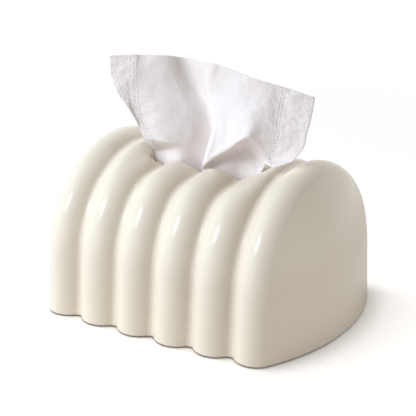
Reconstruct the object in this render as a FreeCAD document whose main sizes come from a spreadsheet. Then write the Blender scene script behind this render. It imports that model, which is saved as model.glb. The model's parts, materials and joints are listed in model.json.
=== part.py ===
import FreeCAD, Part
import math
import os

import Sketcher

Vector = FreeCAD.Vector
Rotation = FreeCAD.Rotation
Placement = FreeCAD.Placement

doc = FreeCAD.newDocument("tissue_box_cover")

# Driving dimensions, in millimetres and degrees. The frame stands on the table at z = 0,
# with X along the row of ribs, the front at -Y and the middle of the cover at the origin.
sizes = doc.addObject("Spreadsheet::Sheet", "sizes")
dimensions = [
    ("cover_length", 245.2),
    ("cover_depth", 189.0),
    ("cover_height", 134.0),
    ("wall_lean", 5.0),
    ("rib_count", 6),
    ("end_reach", 35.1),
    ("rib_radius", 19.1),
    ("valley_radius", 6.7),
    ("crest_bow", 1440.0),
    ("end_radius", 16.3),
    ("shell_wall", 3.2),
    ("mouth_wall", 1.6),
    ("rim_round", 0.6),
    ("rim_stand", 1.0),
    ("dish_drop", 12.5),
    ("dish_round", 45.0),
    ("dish_overlap", 1.7),
    ("dish_margin", 3.0),
    ("dish_ease", 3.5),
    ("slot_length", 100.0),
    ("slot_width", 26.0),
    ("lip_radius", 8.5),
    ("lip_depth", 34.0),
    ("plate_thickness", 2.4),
    ("plate_clearance", 0.4),
    ("foot_diameter", 16.0),
    ("foot_thickness", 1.6),
    ("foot_recess", 0.8),
    ("foot_clearance", 0.2),
    ("foot_spacing_long", 150.0),
    ("foot_spacing_deep", 110.0),
    ("stack_gap", 16.9),
    ("stack_width", 105.0),
    ("stack_height", 70.0),
    ("stack_round", 5.0),
    ("sheet_thickness", 0.8),
    ("sheet_clearance", 0.4),
    ("flap_height", 22.0),
    ("flap_bend", 6.0),
    ("flap_width", 150.0),
    ("tail_width", 80.0),
    ("tail_fold", 4.0),
    ("fan_width", 188.0),
    ("fan_rise", 66.0),
    ("fan_fold", 18.0),
]
for row, (alias, value) in enumerate(dimensions, start=1):
    sizes.set(f"A{row}", alias)
    sizes.set(f"B{row}", str(value))
    sizes.setAlias(f"B{row}", alias)
doc.recompute()


def size(alias):
    return float(getattr(sizes, alias))


def bind(target, prop, expression):
    target.setExpression(prop, expression)


def origin_plane(body, role):
    return next(item for item in body.Origin.OriginFeatures if item.Role == role)


# The cover's cross-section is two leaning walls joined by one crown arc. Its radius and the
# height of its centre follow from the depth, the height and the lean. The ribs share out the
# length between the two domed ends.
CROWN_RADIUS = (
    "((sizes.cover_depth / 2 * cos(sizes.wall_lean * 1deg)"
    " - sizes.cover_height * sin(sizes.wall_lean * 1deg))"
    " / (1 - sin(sizes.wall_lean * 1deg)))"
)
RIB_PITCH = "((sizes.cover_length - 2 * sizes.end_reach) / (sizes.rib_count - 1))"
CROWN_CENTRE = f"(sizes.rim_stand + sizes.cover_height - {CROWN_RADIUS})"
WALL_RUN = f"({CROWN_CENTRE} / cos(sizes.wall_lean * 1deg) + sizes.cover_depth / 4)"

lean = math.radians(size("wall_lean"))
crown_radius = (
    size("cover_depth") / 2 * math.cos(lean) - size("cover_height") * math.sin(lean)
) / (1 - math.sin(lean))
rib_count = int(size("rib_count"))
rib_pitch = (size("cover_length") - 2 * size("end_reach")) / (rib_count - 1)


def rib_station(index):
    """Distance of a rib's crest line from the middle of the cover, along X, in pitches."""
    return index - (rib_count - 1) / 2


def rib_centre(index):
    """Centre of a rib's round, as X and distance from the crown's axis."""
    station = rib_station(index) * rib_pitch
    bow = size("crest_bow")
    sag = bow - math.sqrt(bow ** 2 - station ** 2)
    return station, crown_radius - sag - size("rib_radius")


def arc(centre_x, centre_y, radius, start, end):
    circle = Part.Circle(Vector(centre_x, centre_y, 0), Vector(0, 0, 1), radius)
    return Part.ArcOfCircle(circle, start, end)


def draw_loaf_profile(sketch, inset, inset_value):
    """Half outline along the cover: a dome arc and an end round, the ribs with a round
    valley between each two, and the same end mirrored, closed along the crown's axis."""
    rib_radius = size("rib_radius")
    valley_radius = size("valley_radius")
    end_radius = size("end_radius")
    half_length = size("cover_length") / 2
    centres = [rib_centre(index) for index in range(rib_count)]
    ribs, valleys = [], []

    last_x, last_y = centres[-1]
    end_y = last_y + rib_radius - end_radius
    reach = half_length - last_x
    dome_radius = (reach ** 2 + end_y ** 2 - end_radius ** 2) / (2 * (reach - end_radius))
    dome_x = half_length - dome_radius
    meet = math.atan2(end_y, last_x - dome_x)

    turn = math.pi / 2
    for index, (x, y) in enumerate(centres):
        if index == rib_count - 1:
            ribs.append(sketch.addGeometry(arc(x, y, rib_radius - inset_value, math.pi / 2, turn)))
            break
        next_x, next_y = centres[index + 1]
        run = math.hypot(next_x - x, next_y - y)
        lift = math.sqrt((rib_radius + valley_radius) ** 2 - run ** 2 / 4)
        valley_x = (x + next_x) / 2 - (next_y - y) / run * lift
        valley_y = (y + next_y) / 2 + (next_x - x) / run * lift
        leave = math.atan2(valley_y - y, valley_x - x)
        ribs.append(sketch.addGeometry(arc(x, y, rib_radius - inset_value, leave, turn)))
        enter = math.atan2(y - valley_y, x - valley_x)
        exit_ = math.atan2(next_y - valley_y, next_x - valley_x)
        valleys.append(sketch.addGeometry(arc(valley_x, valley_y, valley_radius + inset_value, enter, exit_)))
        turn = math.atan2(valley_y - next_y, valley_x - next_x)

    left_end = sketch.addGeometry(arc(-last_x, end_y, end_radius - inset_value, math.pi / 2, math.pi - meet))
    left_dome = sketch.addGeometry(arc(-dome_x, 0, dome_radius - inset_value, math.pi - meet, math.pi))
    right_end = sketch.addGeometry(arc(last_x, end_y, end_radius - inset_value, meet, math.pi / 2))
    right_dome = sketch.addGeometry(arc(dome_x, 0, dome_radius - inset_value, 0, meet))
    tip = half_length - inset_value
    axis = sketch.addGeometry(Part.LineSegment(Vector(tip, 0, 0), Vector(-tip, 0, 0)))

    def constrain(*values):
        return sketch.addConstraint(Sketcher.Constraint(*values))

    def drive(name, expression, *values):
        sketch.renameConstraint(constrain(*values), name)
        bind(sketch, f"Constraints.{name}", expression)

    constrain("Tangent", left_dome, 1, left_end, 2)
    constrain("Tangent", left_end, 1, ribs[0], 2)
    for index, valley in enumerate(valleys):
        constrain("Tangent", ribs[index], 1, valley, 1)
        constrain("Tangent", valley, 2, ribs[index + 1], 2)
    constrain("Tangent", ribs[-1], 1, right_end, 2)
    constrain("Tangent", right_end, 1, right_dome, 2)
    constrain("Coincident", axis, 1, right_dome, 1)
    constrain("Coincident", axis, 2, left_dome, 2)
    constrain("Vertical", ribs[0], 2, ribs[0], 3)
    constrain("Vertical", ribs[-1], 1, ribs[-1], 3)
    for dome, end in ((left_dome, 2), (right_dome, 1)):
        constrain("PointOnObject", dome, 3, -1)
        constrain("PointOnObject", dome, end, -1)
    half = f"sizes.cover_length / 2 - {inset}"
    drive("right_tip", half, "DistanceX", -1, 1, right_dome, 1, tip)
    drive("left_tip", half, "DistanceX", left_dome, 2, -1, 1, tip)
    for name, end in (("left_round", left_end), ("right_round", right_end)):
        drive(name, f"sizes.end_radius - {inset}", "Radius", end, end_radius - inset_value)
    for index, valley in enumerate(valleys):
        drive(f"valley_{index + 1}", f"sizes.valley_radius + {inset}", "Radius", valley,
              valley_radius + inset_value)
    for index, rib in enumerate(ribs):
        x, y = centres[index]
        place = f"{abs(rib_station(index))} * {RIB_PITCH}"
        sag = f"(sizes.crest_bow - sqrt(sizes.crest_bow ^ 2 - ({place}) ^ 2))"
        drive(f"rib_{index + 1}", f"sizes.rib_radius - {inset}", "Radius", rib, rib_radius - inset_value)
        ends = (-1, 1, rib, 3) if x > 0 else (rib, 3, -1, 1)
        drive(f"station_{index + 1}", place, "DistanceX", *ends, abs(x))
        drive(f"rise_{index + 1}", f"{CROWN_RADIUS} - {sag} - sizes.rib_radius",
              "DistanceY", -1, 1, rib, 3, y)


def loaf(name, inset, inset_value):
    """The ribbed, domed loaf, cut flat at the table, with every surface set in by one amount."""
    body = doc.addObject("PartDesign::Body", name)
    profile = body.newObject("Sketcher::SketchObject", f"{name}_profile")
    profile.AttachmentSupport = [(origin_plane(body, "XY_Plane"), "")]
    profile.MapMode = "FlatFace"
    profile.AttachmentOffset = Placement(Vector(0, 0, 0), Rotation(Vector(1, 0, 0), 180 - size("wall_lean")))
    bind(profile, "AttachmentOffset.Base.z", CROWN_CENTRE)
    bind(profile, "AttachmentOffset.Rotation.Angle", "180 - sizes.wall_lean")
    draw_loaf_profile(profile, inset, inset_value)

    front = body.newObject("PartDesign::Pad", f"{name}_front_wall")
    front.Profile = profile
    bind(front, "Length", WALL_RUN)
    doc.recompute()

    crown = body.newObject("PartDesign::Revolution", f"{name}_crown")
    crown.Profile = profile
    crown.ReferenceAxis = (profile, ["H_Axis"])
    crown.Reversed = True
    bind(crown, "Angle", "180 - 2 * sizes.wall_lean")
    doc.recompute()

    back = body.newObject("PartDesign::Mirrored", f"{name}_back_wall")
    back.Originals = [front]
    back.MirrorPlane = (origin_plane(body, "XZ_Plane"), [""])
    body.Tip = back
    doc.recompute()

    core_sketch = body.newObject("Sketcher::SketchObject", f"{name}_core_outline")
    core_sketch.AttachmentSupport = [(origin_plane(body, "YZ_Plane"), "")]
    core_sketch.MapMode = "FlatFace"
    bind(core_sketch, "AttachmentOffset.Base.y", CROWN_CENTRE)
    foot_y = size("cover_depth") / 4
    foot_z = -size("cover_height") / 2
    corners = [Vector(0, 0, 0), Vector(-foot_y, foot_z, 0), Vector(foot_y, foot_z, 0)]
    sides = [
        core_sketch.addGeometry(Part.LineSegment(corners[index], corners[(index + 1) % 3]))
        for index in range(3)
    ]
    for index in range(3):
        following = sides[(index + 1) % 3]
        core_sketch.addConstraint(Sketcher.Constraint("Coincident", sides[index], 2, following, 1))
    core_sketch.addConstraint(Sketcher.Constraint("Coincident", sides[0], 1, -1, 1))
    for name_, first, last, expression in (
        ("front_foot", (sides[0], 2), (-1, 1), f"{WALL_RUN} * sin(sizes.wall_lean * 1deg)"),
        ("back_foot", (-1, 1), (sides[1], 2), f"{WALL_RUN} * sin(sizes.wall_lean * 1deg)"),
    ):
        index = core_sketch.addConstraint(Sketcher.Constraint("DistanceX", *first, *last, foot_y))
        core_sketch.renameConstraint(index, name_)
        bind(core_sketch, f"Constraints.{name_}", expression)
    for name_, side in (("front_fall", sides[0]), ("back_fall", sides[1])):
        index = core_sketch.addConstraint(Sketcher.Constraint("DistanceY", side, 2, -1, 1, -foot_z))
        core_sketch.renameConstraint(index, name_)
        bind(core_sketch, f"Constraints.{name_}", f"{WALL_RUN} * cos(sizes.wall_lean * 1deg)")

    core = body.newObject("PartDesign::Pad", f"{name}_core")
    core.Profile = core_sketch
    core.Midplane = True
    bind(core, "Length", f"sizes.cover_length - 2 * {inset}")
    doc.recompute()
    return body


def slab(name, low, high):
    """A flat slab wider than the cover, between two heights."""
    box = doc.addObject("Part::Box", name)
    bind(box, "Length", "sizes.cover_length * 2")
    bind(box, "Width", "sizes.cover_depth * 2")
    bind(box, "Height", f"{high} - ({low})")
    bind(box, "Placement.Base.x", "-sizes.cover_length")
    bind(box, "Placement.Base.y", "-sizes.cover_depth")
    bind(box, "Placement.Base.z", low)
    return box


def boolean(kind, name, base, tool):
    result = doc.addObject(f"Part::{kind}", name)
    result.Base = base
    result.Tool = tool
    doc.recompute()
    return result


def slot_column(name, spread, spread_value, low):
    """An upright column with the slot's long round-ended outline, spread outwards."""
    outline = doc.addObject("Sketcher::SketchObject", f"{name}_outline")
    reach = (size("slot_length") - size("slot_width")) / 2
    radius = size("slot_width") / 2 + spread_value
    front = outline.addGeometry(Part.LineSegment(Vector(-reach, -radius, 0), Vector(reach, -radius, 0)))
    right = outline.addGeometry(arc(reach, 0, radius, -math.pi / 2, math.pi / 2))
    back = outline.addGeometry(Part.LineSegment(Vector(reach, radius, 0), Vector(-reach, radius, 0)))
    left = outline.addGeometry(arc(-reach, 0, radius, math.pi / 2, 1.5 * math.pi))
    for first, second in ((front, right), (right, back), (back, left), (left, front)):
        outline.addConstraint(Sketcher.Constraint("Tangent", first, 2, second, 1))
    outline.addConstraint(Sketcher.Constraint("PointOnObject", right, 3, -1))
    outline.addConstraint(Sketcher.Constraint("PointOnObject", left, 3, -1))
    for side, expression, values in (
        ("right_reach", "(sizes.slot_length - sizes.slot_width) / 2", ("DistanceX", -1, 1, right, 3, reach)),
        ("left_reach", "(sizes.slot_length - sizes.slot_width) / 2", ("DistanceX", left, 3, -1, 1, reach)),
        ("end_round", f"sizes.slot_width / 2 + {spread}", ("Radius", right, radius)),
    ):
        outline.renameConstraint(outline.addConstraint(Sketcher.Constraint(*values)), side)
        bind(outline, f"Constraints.{side}", expression)
    bind(outline, "Placement.Base.z", low)
    column = doc.addObject("Part::Extrusion", name)
    column.Base = outline
    column.DirMode = "Custom"
    column.Dir = Vector(0, 0, 1)
    column.Solid = True
    bind(column, "LengthFwd", "sizes.cover_height * 2")
    doc.recompute()
    return column


def round_edges(name, base, radius, chosen):
    """Rounds the edges of a solid that a test on their middle point chooses."""
    rounds = doc.addObject("Part::Fillet", name)
    rounds.Base = base
    edges = []
    for index, edge in enumerate(base.Shape.Edges, start=1):
        middle = edge.valueAt((edge.FirstParameter + edge.LastParameter) / 2)
        if chosen(edge, middle):
            edges.append((index, radius, radius))
    rounds.Edges = edges
    doc.recompute()
    return rounds


def on_slot_wall(spread):
    """Tests whether an edge's middle lies on the slot's wall, on the outer side of the crown."""
    reach = (size("slot_length") - size("slot_width")) / 2
    radius = size("slot_width") / 2 + spread
    lip_base = size("rim_stand") + size("cover_height") - size("lip_depth")

    def test(edge, middle):
        ends = [vertex.Point for vertex in edge.Vertexes]
        upright = math.hypot(ends[0].x - ends[-1].x, ends[0].y - ends[-1].y) < 0.01
        distance = math.hypot(max(abs(middle.x) - reach, 0), middle.y)
        return abs(distance - radius) < 1e-3 and middle.z > lip_base + spread and not upright
    return test


# The crown is dished round the slot: its middle ribs run level there, and a smaller arc takes
# them down to the crown's own arc, which it crosses at a slight angle. Beyond the valleys next
# to the middle ribs the dish rises at a slope, and comes out of the crown just past the lip.
DISH_RISE = f"({CROWN_RADIUS} - sizes.dish_round - sizes.dish_drop)"
DISH_FLAT = f"(sqrt(({CROWN_RADIUS} - sizes.dish_round) ^ 2 - {DISH_RISE} ^ 2) + sizes.dish_overlap)"
DISH_CENTRE = f"({CROWN_CENTRE} + {DISH_RISE})"
DISH_TURN = f"atan({DISH_FLAT} / {DISH_RISE})"


def draw_dish_profile(sketch, inset, inset_value):
    """Outline of what the dish takes away: level ribs and valleys below, a slope at each end."""
    rib_radius = size("rib_radius")
    valley_radius = size("valley_radius")
    drop = crown_radius - size("dish_round")
    inner = [index for index in range(rib_count) if abs(rib_station(index)) <= 1]
    centres = [rib_centre(index) for index in range(inner[0] - 1, inner[-1] + 2)]
    centres = [(x, y - drop) for x, y in centres]
    valley_centres = []
    for (x, y), (next_x, next_y) in zip(centres, centres[1:]):
        run = math.hypot(next_x - x, next_y - y)
        lift = math.sqrt((rib_radius + valley_radius) ** 2 - run ** 2 / 4)
        valley_centres.append((
            (x + next_x) / 2 - (next_y - y) / run * lift,
            (y + next_y) / 2 + (next_x - x) / run * lift,
        ))

    end_x, end_y = valley_centres[-1]
    out_x = size("slot_length") / 2 + size("lip_radius") + size("dish_margin") - end_x
    out_y = size("dish_round") + size("dish_drop") - size("dish_ease") - end_y
    slope = math.atan2(out_y, out_x) + math.asin(valley_radius / math.hypot(out_x, out_y))

    ribs, valleys = [], []
    low_round = valley_radius + inset_value
    for index, (x, y) in enumerate(valley_centres):
        enter = 1.5 * math.pi - slope
        leave = 1.5 * math.pi + slope
        if index > 0:
            enter = math.atan2(centres[index][1] - y, centres[index][0] - x) + 2 * math.pi
        if index < len(valley_centres) - 1:
            leave = math.atan2(centres[index + 1][1] - y, centres[index + 1][0] - x) + 2 * math.pi
        valleys.append(sketch.addGeometry(arc(x, y, low_round, enter, leave)))
    for index, (x, y) in enumerate(centres[1:-1]):
        left_x, left_y = valley_centres[index]
        right_x, right_y = valley_centres[index + 1]
        start = math.atan2(right_y - y, right_x - x)
        end = math.atan2(left_y - y, left_x - x)
        ribs.append(sketch.addGeometry(arc(x, y, rib_radius - inset_value, start, end)))

    top = size("dish_round") + 2 * size("dish_drop")
    foot = Vector(end_x + low_round * math.sin(slope), end_y - low_round * math.cos(slope), 0)
    head = Vector(foot.x + (top - foot.y) / math.tan(slope), top, 0)
    right = sketch.addGeometry(Part.LineSegment(foot, head))
    lid = sketch.addGeometry(Part.LineSegment(head, Vector(-head.x, top, 0)))
    left = sketch.addGeometry(Part.LineSegment(Vector(-head.x, top, 0), Vector(-foot.x, foot.y, 0)))

    def constrain(*values):
        return sketch.addConstraint(Sketcher.Constraint(*values))

    def drive(name, expression, *values):
        sketch.renameConstraint(constrain(*values), name)
        bind(sketch, f"Constraints.{name}", expression)

    constrain("Tangent", left, 2, valleys[0], 1)
    for index, rib in enumerate(ribs):
        constrain("Tangent", valleys[index], 2, rib, 2)
        constrain("Tangent", rib, 1, valleys[index + 1], 1)
    constrain("Tangent", valleys[-1], 2, right, 1)
    constrain("Coincident", right, 2, lid, 1)
    constrain("Coincident", lid, 2, left, 1)
    constrain("Horizontal", lid)
    drive("lid_height", "sizes.dish_round + 2 * sizes.dish_drop", "DistanceY", -1, 1, lid, 1, top)
    constrain("Angle", right, slope)
    constrain("Angle", -1, 1, left, 2, math.pi - slope)
    for index, valley in enumerate(valleys):
        drive(f"valley_{index + 1}", f"sizes.valley_radius + {inset}", "Radius", valley, low_round)
    for index, rib in enumerate(ribs):
        x, y = centres[index + 1]
        place = f"{abs(rib_station(inner[index]))} * {RIB_PITCH}"
        sag = f"(sizes.crest_bow - sqrt(sizes.crest_bow ^ 2 - ({place}) ^ 2))"
        drive(f"rib_{index + 1}", f"sizes.rib_radius - {inset}", "Radius", rib, rib_radius - inset_value)
        ends = (-1, 1, rib, 3) if x > 0 else (rib, 3, -1, 1)
        drive(f"station_{index + 1}", place, "DistanceX", *ends, abs(x))
        drive(f"rise_{index + 1}", f"sizes.dish_round - {sag} - sizes.rib_radius",
              "DistanceY", -1, 1, rib, 3, y)


def dish_tool(name, inset, inset_value):
    """What the dish takes away from the crown, with its lower surface set in by one amount."""
    body = doc.addObject("PartDesign::Body", name)
    profile = body.newObject("Sketcher::SketchObject", f"{name}_profile")
    profile.AttachmentSupport = [(origin_plane(body, "XZ_Plane"), "")]
    profile.MapMode = "FlatFace"
    bind(profile, "AttachmentOffset.Base.y", DISH_CENTRE)
    bind(profile, "AttachmentOffset.Base.z", DISH_FLAT)
    draw_dish_profile(profile, inset, inset_value)
    doc.recompute()

    level = body.newObject("PartDesign::Pad", f"{name}_level")
    level.Profile = profile
    level.Reversed = True
    bind(level, "Length", f"2 * {DISH_FLAT}")
    doc.recompute()

    front = body.newObject("PartDesign::Revolution", f"{name}_front")
    front.Profile = profile
    front.ReferenceAxis = (profile, ["H_Axis"])
    bind(front, "Angle", DISH_TURN)
    doc.recompute()

    back = body.newObject("PartDesign::Mirrored", f"{name}_back")
    back.Originals = [front]
    back.MirrorPlane = (origin_plane(body, "XZ_Plane"), [""])
    body.Tip = back
    doc.recompute()
    return body


# Cover shell: one moulding. The slot's lip rolls inwards and hangs as a short collar, the
# wall keeps one thickness, and a rebate in the mouth makes the ledge that sits on the plate.
PLATE_BASE = "(sizes.foot_thickness - sizes.foot_recess)"
PLATE_TOP = f"({PLATE_BASE} + sizes.plate_thickness)"
LIP_BASE = "(sizes.rim_stand + sizes.cover_height - sizes.lip_depth)"

outer = boolean("Common", "outer_form", loaf("outer_loaf", "0", 0.0),
                slab("above_rim", "sizes.rim_stand", "sizes.cover_height * 2"))
outer = boolean("Cut", "outer_dished", outer, dish_tool("outer_dish", "0", 0.0))
outer = boolean("Cut", "outer_slotted", outer, slot_column("slot_tool", "0", 0.0, "0"))
outer = round_edges("outer_lip", outer, size("lip_radius"), on_slot_wall(0.0))

wall = size("shell_wall")
cavity = boolean("Cut", "cavity_dished", loaf("cavity_loaf", "sizes.shell_wall", wall),
                 dish_tool("cavity_dish", "sizes.shell_wall", wall))
cavity = boolean("Cut", "cavity_collared", cavity,
                 slot_column("collar_tool", "sizes.shell_wall", wall, LIP_BASE))
cavity = round_edges("cavity_lip", cavity, size("lip_radius") - wall, on_slot_wall(wall))

mouth = boolean("Common", "mouth_form", loaf("mouth_loaf", "sizes.mouth_wall", size("mouth_wall")),
                slab("below_ledge", "-sizes.plate_thickness", PLATE_TOP))
shell = boolean("Cut", "hollow_shell", outer, cavity)
shell = boolean("Cut", "rebated_shell", shell, mouth)


def on_rim(edge, middle):
    """Tests for the outer edge of the rim, which the mouth's inner edge lies inside."""
    ends = [vertex.Point for vertex in edge.Vertexes]
    flat = all(abs(point.z - size("rim_stand")) < 1e-4 for point in ends + [middle])
    return flat and not mouth_face.isInside(middle, size("mouth_wall") / 2, True)


mouth_face = mouth.Shape
shell = round_edges("cover_shell", shell, size("rim_round"), on_rim)
shell.Label = "cover_shell"

# Base plate: a flat plate that drops into the mouth's rebate and carries the tissues, with
# a shallow round recess under each corner for a foot.
plate = boolean(
    "Common", "plate_form",
    loaf("plate_loaf", "(sizes.mouth_wall + sizes.plate_clearance)",
         size("mouth_wall") + size("plate_clearance")),
    slab("plate_slab", PLATE_BASE, PLATE_TOP),
)
feet = []
corners = (
    ("front_left", -1, -1),
    ("front_right", 1, -1),
    ("back_left", -1, 1),
    ("back_right", 1, 1),
)
for corner, along, across in corners:
    recess = doc.addObject("Part::Cylinder", f"recess_{corner}")
    foot = doc.addObject("Part::Cylinder", f"foot_{corner}")
    bind(recess, "Radius", "sizes.foot_diameter / 2 + sizes.foot_clearance")
    bind(recess, "Height", "sizes.foot_thickness")
    bind(foot, "Radius", "sizes.foot_diameter / 2")
    bind(foot, "Height", "sizes.foot_thickness")
    for cylinder in (recess, foot):
        bind(cylinder, "Placement.Base.x", f"{along} * sizes.foot_spacing_long / 2")
        bind(cylinder, "Placement.Base.y", f"{across} * sizes.foot_spacing_deep / 2")
    plate = boolean("Cut", f"plate_{corner}", plate, recess)
    foot.Label = f"foot_{corner}"
    feet.append(foot)
plate.Label = "base_plate"

# Tissue stack: the interfolded block that lies on the plate between the cover's ends, with
# softly rounded edges.
STACK_LENGTH = "(sizes.cover_length - 2 * (sizes.shell_wall + sizes.stack_gap))"
block = doc.addObject("Part::Box", "stack_block")
bind(block, "Length", STACK_LENGTH)
bind(block, "Width", "sizes.stack_width")
bind(block, "Height", "sizes.stack_height")
bind(block, "Placement.Base.x", f"-{STACK_LENGTH} / 2")
bind(block, "Placement.Base.y", "-sizes.stack_width / 2")
bind(block, "Placement.Base.z", PLATE_TOP)
doc.recompute()
stack_base = size("foot_thickness") - size("foot_recess") + size("plate_thickness")
stack_top = stack_base + size("stack_height")
stack = round_edges("tissue_stack", block, size("stack_round"),
                    lambda edge, middle: middle.z > stack_base + 0.01)
stack.Label = "tissue_stack"

# Next tissue: half of it lies on the stack, and its leading half bends up and stands beside
# the tail of the sheet above it.
STACK_TOP = f"({PLATE_TOP} + sizes.stack_height)"
flap = doc.addObject("PartDesign::Body", "next_tissue")
bend_sketch = flap.newObject("Sketcher::SketchObject", "flap_profile")
bend_sketch.AttachmentSupport = [(origin_plane(flap, "YZ_Plane"), "")]
bend_sketch.MapMode = "FlatFace"
bind(bend_sketch, "AttachmentOffset.Base.y", STACK_TOP)
sheet = size("sheet_thickness")
bend = size("flap_bend")
stand_y = size("tail_fold") + sheet + size("sheet_clearance")
lie_y = size("stack_width") / 2 - size("stack_round")
tall = size("flap_height")
inner = arc(stand_y + sheet + bend, sheet + bend, bend, math.pi, 1.5 * math.pi)
outer_bend = arc(stand_y + sheet + bend, sheet + bend, bend + sheet, math.pi, 1.5 * math.pi)
pieces = [
    Part.LineSegment(Vector(stand_y, tall, 0), Vector(stand_y, sheet + bend, 0)),
    outer_bend,
    Part.LineSegment(Vector(stand_y + sheet + bend, 0, 0), Vector(lie_y, 0, 0)),
    Part.LineSegment(Vector(lie_y, 0, 0), Vector(lie_y, sheet, 0)),
    Part.LineSegment(Vector(lie_y, sheet, 0), Vector(stand_y + sheet + bend, sheet, 0)),
    inner,
    Part.LineSegment(Vector(stand_y + sheet, sheet + bend, 0), Vector(stand_y + sheet, tall, 0)),
    Part.LineSegment(Vector(stand_y + sheet, tall, 0), Vector(stand_y, tall, 0)),
]
stand, curl, lie, hem, cover, hollow, rise, edge_top = [bend_sketch.addGeometry(piece) for piece in pieces]


def fix(*values):
    return bend_sketch.addConstraint(Sketcher.Constraint(*values))


def fix_to(name, expression, *values):
    bend_sketch.renameConstraint(fix(*values), name)
    bind(bend_sketch, f"Constraints.{name}", expression)


fix("Tangent", stand, 2, curl, 1)
fix("Tangent", curl, 2, lie, 1)
fix("Coincident", lie, 2, hem, 1)
fix("Coincident", hem, 2, cover, 1)
fix("Tangent", cover, 2, hollow, 2)
fix("Tangent", hollow, 1, rise, 1)
fix("Coincident", rise, 2, edge_top, 1)
fix("Coincident", edge_top, 2, stand, 1)
fix("Vertical", stand)
fix("Vertical", rise)
fix("Vertical", hem)
fix("Horizontal", cover)
fix("Horizontal", edge_top)
fix("PointOnObject", lie, 1, -1)
fix("PointOnObject", lie, 2, -1)
fix_to("bend", "sizes.flap_bend", "Radius", hollow, bend)
fix_to("sheet", "sizes.sheet_thickness", "DistanceY", hem, 1, hem, 2, sheet)
fix_to("gauge", "sizes.sheet_thickness", "DistanceX", edge_top, 2, edge_top, 1, sheet)
fix_to("height", "sizes.flap_height", "DistanceY", -1, 1, stand, 1, tall)
fix_to("stand_off", "sizes.tail_fold + sizes.sheet_thickness + sizes.sheet_clearance",
       "DistanceX", -1, 1, stand, 1, stand_y)
fix_to("lie_to", "sizes.stack_width / 2 - sizes.stack_round", "DistanceX", -1, 1, lie, 2, lie_y)
flap_pad = flap.newObject("PartDesign::Pad", "flap_width_pad")
flap_pad.Profile = bend_sketch
flap_pad.Midplane = True
bind(flap_pad, "Length", "sizes.flap_width")
flap.Label = "next_tissue"
doc.recompute()

# Pulled tissue: a sheet that fans out above the slot. From the left it falls back into a hollow
# behind the edge of its right-hand panel, which has a tent-like fold above the lip. Its neck is
# gathered in the slot, and its tail hangs down to the stack. Each line runs from hem to neck:
# in half widths, fold depths and rises over the crown, then in half slots, half slot widths and
# dish drops over the dish.
FAN_LINES = (
    ((-0.96, -0.56, 0.92), (-0.87, -0.67, 0.48), (-0.74, -0.67, 0.30), (-0.56, -0.67, -0.06)),
    ((-0.63, -0.17, 0.97), (-0.51, -0.39, 0.50), (-0.45, -0.44, 0.29), (-0.32, -0.61, -0.04)),
    ((-0.45, 0.11, 0.97), (-0.30, 0.06, 0.50), (-0.23, -0.06, 0.32), (-0.15, -0.22, -0.04)),
    ((-0.31, 1.11, 0.91), (-0.16, 0.89, 0.50), (-0.03, 0.50, 0.21), (-0.04, -0.11, -0.24)),
    ((-0.26, 0.44, 0.97), (-0.09, 0.11, 0.56), (0.04, -0.28, 0.27), (0.00, -0.67, -0.21)),
    ((0.19, 0.22, 0.91), (0.24, -0.17, 0.56), (0.27, -0.39, 0.41), (0.29, -0.89, 0.09)),
    ((0.40, 0.11, 0.88), (0.43, -0.22, 0.56), (0.44, -0.44, 0.44), (0.48, -0.94, 0.24)),
    ((0.55, 0.17, 0.83), (0.56, -0.17, 0.48), (0.57, -0.39, 0.35), (0.57, -0.83, 0.12)),
    ((0.67, 0.28, 0.79), (0.66, -0.06, 0.44), (0.67, -0.28, 0.29), (0.67, -0.67, 0.03)),
    ((0.93, 0.44, 0.71), (0.93, 0.06, 0.39), (0.93, -0.17, 0.27), (0.89, -0.44, 0.12)),
)
NECK_LINES = (
    ((-0.94, -0.75, 0.08), (-0.83, -0.62, -0.75)),
    ((-0.52, -0.77, 0.10), (-0.45, -0.62, -0.70)),
    ((-0.29, -0.31, -0.10), (-0.31, -0.31, -0.85)),
    ((-0.09, -0.20, -0.80), (-0.09, -0.28, -1.05)),
    ((-0.02, -0.85, -0.52), (-0.04, -0.75, -0.85)),
    ((0.42, -0.31, 0.30), (0.40, -0.72, -0.55)),
    ((0.68, -0.15, 0.70), (0.60, -0.70, -0.70)),
    ((0.90, -0.23, 0.50), (0.72, -0.60, -0.45)),
    ((1.12, -0.80, 0.86), (0.80, -0.40, -0.32)),
    ((1.22, -0.85, 0.97), (0.90, -0.18, -0.12)),
)
PLEAT = 0.45

crown_top = size("rim_stand") + size("cover_height")
dish_top = crown_top - size("dish_drop")
tail_base = stack_top + size("sheet_clearance")
front = []
for column, (fan_line, neck_line) in enumerate(zip(FAN_LINES, NECK_LINES)):
    line = [
        Vector(along * size("fan_width") / 2, back * size("fan_fold"), crown_top + up * size("fan_rise"))
        for along, back, up in fan_line
    ]
    for along, back, up in neck_line:
        line.append(Vector(along * size("slot_length") / 2, back * size("slot_width") / 2,
                           dish_top + up * size("dish_drop")))
    spread = 2 * column / (len(FAN_LINES) - 1) - 1
    pleat = PLEAT if column % 2 else -PLEAT
    line.append(Vector(spread * size("tail_width") / 2, pleat * size("tail_fold"), tail_base))
    front.append(line)


def patch(first, second, third, fourth):
    """A face ruled between two straight edges."""
    surface = Part.BSplineSurface()
    surface.buildFromPolesMultsKnots([[first, second], [fourth, third]], [2, 2], [2, 2], [0, 1], [0, 1],
                                     False, False, 1, 1)
    return surface.toShape()


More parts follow.
